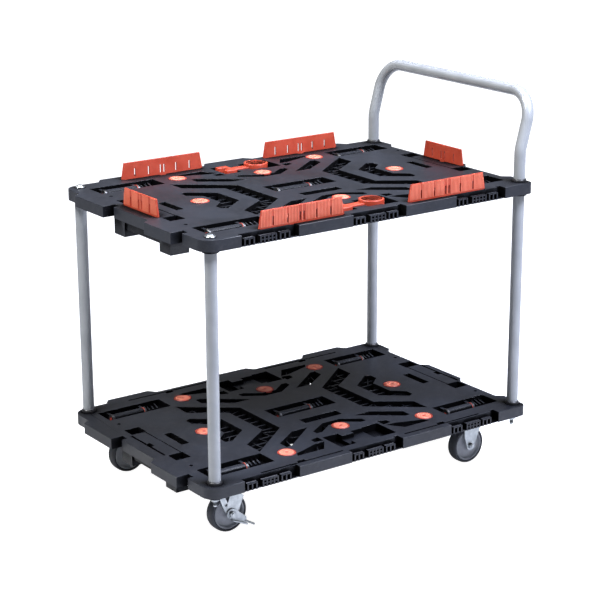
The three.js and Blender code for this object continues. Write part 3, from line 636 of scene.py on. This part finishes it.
# %% The handle
LEAN_START = 60
LEAN_R = 70
CORNER_R = 55
grip_low, grip_high = box_mm("push_handle")
POST_X, POST_Y = 351, 227
foot_z = grip_low.z
rise = grip_high.z - TUBE_R - UPPER_TOP - LEAN_START
reach = grip_high.x - TUBE_R - POST_X
lean = math.atan2(reach, rise)
lean_setback = LEAN_R * math.tan(lean / 2)
upright = UPPER_TOP + LEAN_START - foot_z - lean_setback
slope = math.hypot(reach, rise) - lean_setback - CORNER_R
across = (-math.cos(lean), 0, math.sin(lean))
corner = (across, math.pi / 2, CORNER_R)
handle_moves = [
    upright, ((0, 1, 0), lean, LEAN_R), slope, corner, 2 * (POST_Y - CORNER_R), corner, slope,
    ((0, -1, 0), lean, LEAN_R), upright,
]
bm = bent_tube((POST_X, -POST_Y, foot_z), (0, 0, 1), handle_moves)
make_piece(bm, "push_handle_tube", TUBE_PAINT, "frame", ["push_handle"], crisp=50)

# %% [markdown]
# ## Collars
# A black collar hides the joint under each tube. It is a short turned ring with a rounded
# shoulder, a little wider than the tube, standing on the deck.

# %% Collars
COLLAR_GAP = 0.3  # the clearance under a collar
COLLAR_H = 6
COLLAR_R, COLLAR_BORE = 13.5, 4.6
COLLAR_SECTION = [
    (COLLAR_BORE, COLLAR_GAP), (COLLAR_R - 0.5, COLLAR_GAP), (COLLAR_R, 0.8), (COLLAR_R, COLLAR_H - 2.6),
    (COLLAR_R - 0.4, COLLAR_H - 1.3), (COLLAR_R - 1.3, COLLAR_H - 0.5), (TUBE_R - 0.6, COLLAR_H - 0.3),
    (COLLAR_BORE, COLLAR_H - 0.3),
]
COLLARS = [f"{end}_{hand}_post_collar" for end in ("front", "rear") for hand in ("left", "right")]
COLLARS += ["left_handle_collar", "right_handle_collar"]

for node in COLLARS:
    base = Vector((*middle_mm(node).xy, box_mm(node)[0].z - COLLAR_GAP))
    bm = bmesh.new()
    spin_profile(bm, COLLAR_SECTION, base, steps=40)
    make_piece(bm, f"{node}_ring", COLLAR_PLASTIC, "frame", [node])
print("made", len(COLLARS), "collars")

# %% [markdown]
# ## Bolts
# A front post is held by a low button-head bolt on a washer, seen on top of the upper deck. Under
# the lower deck each tie rod shows its nut and a short end of thread. A thread this small is
# drawn as plain grooves one pitch apart, because its helix could not be told from rings.

# %% Top bolts and tie rods
SHANK_R = 4
PITCH = 1.25
NUT_TOP, NUT_H = -26.7, 6.7
NUT_CORNERS = 15  # across the corners
THREAD_TOP = -32
BUTTON_SECTION = [
    (0, 3.2), (2.2, 3.2), (2.6, 4.6), (4.2, 4.9), (6.2, 3.9), (7.2, 2.3), (9.6, 2.0), (10, 1.6),
    (10, 0.3), (SHANK_R, 0.3),
]


def thread_section(top, bottom):
    """Grooves one pitch apart down a shank, from top to bottom."""
    turns = int((top - bottom - 1) / PITCH)
    rows = []
    for i in range(turns):
        z = top - i * PITCH
        rows += [(SHANK_R, z), (SHANK_R - 0.55, z - PITCH / 2)]
    return rows + [(SHANK_R - 0.6, bottom + 0.6), (SHANK_R - 1.2, bottom), (0, bottom)]


for hand in ("left", "right"):
    node = f"front_{hand}_top_bolt"
    tip = box_mm(node)[0].z - UPPER_TOP
    base = Vector((*middle_mm(node).xy, UPPER_TOP))
    bm = bmesh.new()
    spin_profile(bm, [*BUTTON_SECTION, (SHANK_R, tip), (0, tip)], base)
    make_piece(bm, f"{node}_button", ZINC, "frame", [node])

for end in ("front", "rear"):
    for hand in ("left", "right"):
        node = f"{end}_{hand}_tie_bolt"
        low, high = box_mm(node)
        centre = Vector((*middle_mm(node).xy, LOWER_TOP))
        shank = [(0, high.z - LOWER_TOP), (SHANK_R, high.z - LOWER_TOP), (SHANK_R, THREAD_TOP)]
        thread = thread_section(THREAD_TOP, low.z - LOWER_TOP)
        bm = bmesh.new()
        spin_profile(bm, shank + thread, centre, steps=24)
        add_hexagon(bm, centre + Vector((0, 0, NUT_TOP - NUT_H)), NUT_CORNERS, NUT_H)
        make_piece(bm, f"{node}_rod", ZINC, "frame", [node])

for hand in ("left", "right"):
    node = f"{hand}_handle_stud"
    low, high = box_mm(node)
    centre = Vector((*middle_mm(node).xy, 0))
    section = [(0, high.z), (SHANK_R, high.z), *thread_section(high.z - 1, low.z)]
    bm = bmesh.new()
    spin_profile(bm, section, centre, steps=24)
    make_piece(bm, f"{node}_thread", ZINC, "frame", [node])
print("made two top bolts, four tie rods and two handle studs")

# %% [markdown]
# ## Wheels
# A 75 mm wheel is a nylon hub with an elastomer tyre bonded round it. The tread is nearly flat
# with rounded shoulders. The hub has a proud lip against the tyre, then dishes in to a thin web
# and rises again to the boss that turns on the axle.

# %% Tyres and hubs
TYRE_SECTION = [
    (31.7, -9.8), (32.4, -10.8), (33.6, -11.5), (35.0, -11.3), (36.3, -10), (37.1, -7.6), (37.5, -4),
    (37.5, 4), (37.1, 7.6), (36.3, 10), (35.0, 11.3), (33.6, 11.5), (32.4, 10.8), (31.7, 9.8),
]
HUB_HALF = [  # from the hub's rim to its bore, on one side
    (31.4, 9.4), (31.1, 10.6), (29.9, 11), (28.9, 10.5), (28.2, 8.6), (26.8, 5.8), (24, 4.6),
    (19, 5.2), (13, 5.6), (10.8, 7.4), (9.7, 12.6), (8.9, 13.5), (4.3, 13.5),
]
HUB_SECTION = HUB_HALF + [(r, -h) for r, h in reversed(HUB_HALF)]
CASTERS = [(end, hand) for end in ("front", "rear") for hand in ("left", "right")]

for end, hand in CASTERS:
    prefix = f"{end}_{hand}_caster"
    tyre = f"{prefix}_tyre"
    centre = middle_mm(tyre)
    body = BODY_OF[tyre]
    bm = bmesh.new()
    spin_profile(bm, TYRE_SECTION, centre, "Y", steps=72)
    make_piece(bm, f"{tyre}_tread", TYRE_RUBBER, body, [tyre])
    bm = bmesh.new()
    spin_profile(bm, HUB_SECTION, centre, "Y", steps=56)
    make_piece(bm, f"{prefix}_hub_web", HUB_PLASTIC, body, [f"{prefix}_hub"])
print("made", len(CASTERS), "tyres and hubs")

# %% [markdown]
# ## Caster frames
# Forks, mounting plates and brake levers are blanked from steel sheet and folded, so their faces
# are flat, their outlines are cut clean and every edge has the small burr-free radius that
# tumbling leaves. A merged copy of each frame solid with that radius shows it well.

# %% Forks, plates, brakes and axles
def soft_copy(node, name, material, width, segments=2, crisp=32):
    """A CAD solid drawn again with its sharp edges rounded to width."""
    bm = cad_copy(node)
    soften(bm, width, segments)
    make_piece(bm, name, material, BODY_OF[node], [node], crisp)


for end, hand in CASTERS:
    prefix = f"{end}_{hand}_caster"
    soft_copy(f"{prefix}_fork", f"{prefix}_fork_pressing", ZINC, 0.5)
    soft_copy(f"{prefix}_axle", f"{prefix}_axle_bolt", ZINC, 0.5)
    if end == "front":
        soft_copy(f"{prefix}_plate", f"{prefix}_plate_pressing", ZINC, 0.4)
        soft_copy(f"{prefix}_brake", f"{prefix}_brake_lever", ZINC, 0.5)
print("made", len(CASTERS), "caster frames")

# %% [markdown]
# ## Caster bolts
# Four short hexagon bolts with washers hold each caster to its pad on the deck. They are only
# seen from below, but a caster without them looks glued on.

# %% Mounting bolts
BOLT_OFFSETS = [(-33, -22), (-33, 22), (33, -22), (33, 22)]
PLATE_T = 2.7
WASHER_SECTION = [(0, 0), (6.2, 0), (6.2, -1), (0, -1)]
BOLT_HEAD_H = 4
BOLT_HEAD_CORNERS = 9.8

for end, hand in CASTERS:
    node = f"{end}_{hand}_caster_plate" if end == "front" else f"{end}_{hand}_caster_fork"
    face = Vector((*middle_mm(node).xy, box_mm(node)[1].z - PLATE_T))
    bm = bmesh.new()
    for dx, dy in BOLT_OFFSETS:
        at = face + Vector((dx, dy, 0))
        spin_profile(bm, WASHER_SECTION, at, steps=20)
        add_hexagon(bm, at - Vector((0, 0, BOLT_HEAD_H + 1)), BOLT_HEAD_CORNERS, BOLT_HEAD_H)
    make_piece(bm, f"{end}_{hand}_caster_bolts", ZINC, "frame")
print("made", len(CASTERS) * len(BOLT_OFFSETS), "mounting bolts with washers")

# %% [markdown]
# ## Stoppers
# A stopper is a thin upright plate that plugs into a slot along the deck's edge and keeps a box
# from sliding off. Its inner face is smooth for the load to rub on, and its outer face is finely
# fluted from foot to top, which stiffens the plate. Each flute is a narrow bar whose outward
# edges are rounded, left out where the plate has a slit and cut short where its end leans in.

# %% Stopper plates and their flutes
STOPPER_T = 3
STOPPER_H = 32
FLUTE_PITCH = 3.1
FLUTE_WIDTH = 1.9
FLUTE_PROUD = 0.5
FLUTE_SUNK = 0.5
FLUTE_FOOT = 2.2
FLUTE_ROUND = 0.42
SLIT_CLEAR = 2.4
OUTWARD = {  # the way each stopper's outer face looks, in degrees from the cart's right side
    "left_front_stopper": 180, "left_rear_stopper": 180, "right_front_stopper": 0,
    "right_rear_stopper": 0, "front_end_stopper": 90, "rear_end_stopper": -90,
}
LONG_STOPPER = {"half": 92, "top": 86, "slits": (4, 31, 62)}
SHORT_STOPPER = {"half": 61, "top": 55, "slits": (5, 33)}


def add_flutes(bm, kind):
    """Flutes on the outer face of a stopper that stands in the XZ plane with its foot at zero."""
    face = STOPPER_T / 2
    half = FLUTE_WIDTH / 2
    count = int((kind["half"] - 3) / FLUTE_PITCH)
    for x in (i * FLUTE_PITCH for i in range(-count, count + 1)):
        if min(abs(abs(x) - slit) for slit in kind["slits"]) < SLIT_CLEAR:
            continue
        lean = (kind["half"] - abs(x) - 1) / (kind["half"] - kind["top"])
        top = min(STOPPER_H - 1, STOPPER_H * lean)
        low = (x - half, face - FLUTE_SUNK, FLUTE_FOOT)
        verts = add_box(bm, low, (x + half, face + FLUTE_PROUD, top))
        edges = {e for v in verts for e in v.link_edges if all(w.co.y > face for w in e.verts)}
        upright = [e for e in edges if abs(e.verts[0].co.z - e.verts[1].co.z) > 1]
        bmesh.ops.bevel(
            bm, geom=upright, offset=FLUTE_ROUND, segments=2, profile=0.5, affect="EDGES", material=-1
        )


for node, degrees in OUTWARD.items():
    low, high = box_mm(node)
    kind = LONG_STOPPER if max(high - low) > 150 else SHORT_STOPPER
    stand = Matrix.Translation((*middle_mm(node).xy, high.z - STOPPER_H))
    place = stand @ Matrix.Rotation(math.radians(degrees), 4, "Z")
    soft_copy(node, f"{node}_plate", ORANGE, 0.5, crisp=50)
    bm = bmesh.new()
    add_flutes(bm, kind)
    bmesh.ops.transform(bm, matrix=place, verts=bm.verts)
    # The flutes carry the paler orange, a painted sheen.
    make_piece(bm, f"{node}_flutes", PAINTED_SHEEN_ORANGE, BODY_OF[node], crisp=50)
print("made", len(OUTWARD), "stoppers and their flutes")

# %% [markdown]
# ## Link pieces
# A link joins this deck to the next one: its ring drops over a peg and its forked tail locks into
# a pocket. It is a thick moulding, so its edges have a larger radius than the stoppers'.

# %% Links
for hand in ("left", "right"):
    soft_copy(f"{hand}_link", f"{hand}_link_piece", ORANGE, 1.1, segments=3)
print("made two link pieces")

# %% [markdown]
# ## Floor and light
# Goods like this are shown on a white table that glows, so almost no shadow is left. The glow
# that is seen is stronger than the glow that lights the cart, or the windows would turn grey. The
# table's own colour is a mid grey, which limits the light that it throws back up. As the camera
# sees it, the main soft box hangs high in front of the cart's right end. It is placed steeply so
# that its reflection in the deck tops stays out of the views from the side and from behind. A
# small box lights the left end. The room itself stays dim, which keeps the deck tops black at a
# low angle.

# %% The light table
GLOW_SEEN = 1.0
GLOW_CAST = 0.2
TABLE_HALF = 14  # metres
TABLE_GAP = 0.0005


def light_table():
    material, tree, shader, place = start_material(
        "white_light_table", Roughness=0.9, Emission_Color=linear("#ffffff")
    )
    seen = add(tree, "LightPath").outputs["Is Camera Ray"]
    glow = spread(tree, seen, GLOW_CAST, GLOW_SEEN, 0, 1)
    tree.links.new(glow, shader.inputs["Emission Strength"])
    tone = blend_colours(tree, spread(tree, noise(tree, place, 600), 0, 1), "#9b9c9f", "#a1a2a4")
    tree.links.new(tone, shader.inputs["Base Color"])
    return material


bm = bmesh.new()
bmesh.ops.create_grid(bm, x_segments=1, y_segments=1, size=TABLE_HALF)
bmesh.ops.translate(bm, vec=(0, 0, cad_low.z - TABLE_GAP), verts=bm.verts)
floor_mesh = bpy.data.meshes.new("floor")
bm.to_mesh(floor_mesh)
bm.free()
floor_mesh.materials.append(light_table())
floor = bpy.data.objects.new("floor", floor_mesh)
bpy.context.scene.collection.objects.link(floor)
print("made the light table")

# %% Soft boxes and the room
TARGET = (cad_low + cad_high) / 2
ROOM_LIGHT = 0.19


def soft_box(name, place, aim, size, watts, tint="#ffffff", cone=180):
    """A square area light at place that faces aim, both in metres from the cart's middle."""
    data = bpy.data.lights.new(name, "AREA")
    data.shape = "SQUARE"
    data.size = size
    data.energy = watts
    data.color = linear(tint)[:3]
    data.spread = math.radians(cone)
    light = bpy.data.objects.new(name, data)
    light.location = TARGET + Vector(place)
    ray = Vector(aim) - Vector(place)
    light.rotation_euler = ray.to_track_quat("-Z", "Y").to_euler()
    bpy.context.scene.collection.objects.link(light)


soft_box("front right box", (1.0, -1.6, 2.8), (0.1, 0, 0), 1.3, 440, "#e5ebff")
soft_box("overhead box", (0.3, 0.4, 2.4), (0, 0, 0), 1.6, 15)
soft_box("left box", (-1.6, 0.1, 2.4), (-0.2, 0, 0.2), 0.8, 21, cone=60)
world = bpy.data.worlds.new("studio")
bpy.context.scene.world = world
world.use_nodes = True
room = world.node_tree
seen = add(room, "LightPath").outputs["Is Camera Ray"]
level = add(room, "MapRange", {"Value": seen, "To Min": ROOM_LIGHT, "To Max": 1.0}).outputs["Result"]
room.links.new(level, room.nodes["Background"].inputs["Strength"])
room.nodes["Background"].inputs["Color"].default_value = linear("#ffffff")
bpy.context.scene.view_settings.view_transform = "Standard"

# %% [markdown]
# ## Camera
# A long lens from a few metres away keeps the two decks nearly parallel, as a catalogue shows
# them. The camera stands off the front left corner and looks down at nearly 17 degrees.

# %% The camera
CAMERA_LENS = 108.2
CAMERA_TURN, CAMERA_RISE, CAMERA_ROLL = (math.radians(v) for v in (-35.496, 16.842, -0.212))
camera = bpy.data.objects.new("camera", bpy.data.cameras.new("camera"))
camera.data.lens = CAMERA_LENS
camera.data.clip_end = 50
camera.location = (-1.9444, -2.7275, 1.3543)
ahead = Vector((
    -math.sin(CAMERA_TURN) * math.cos(CAMERA_RISE), math.cos(CAMERA_TURN) * math.cos(CAMERA_RISE),
    -math.sin(CAMERA_RISE),
))
facing = ahead.to_track_quat("-Z", "Y").to_matrix() @ Matrix.Rotation(CAMERA_ROLL, 3, "Z")
camera.rotation_euler = facing.to_euler()
bpy.context.scene.collection.objects.link(camera)
bpy.context.scene.camera = camera
print("camera with a", CAMERA_LENS, "mm lens at", tuple(round(v, 2) for v in camera.location))

# %% [markdown]
# ## Sizes
# The looks must not change the cart's size, so the frame's box is printed.

# %% Print the frame's box
print("cad box   ", [round(v, 4) for v in (*cad_low, *cad_high)])
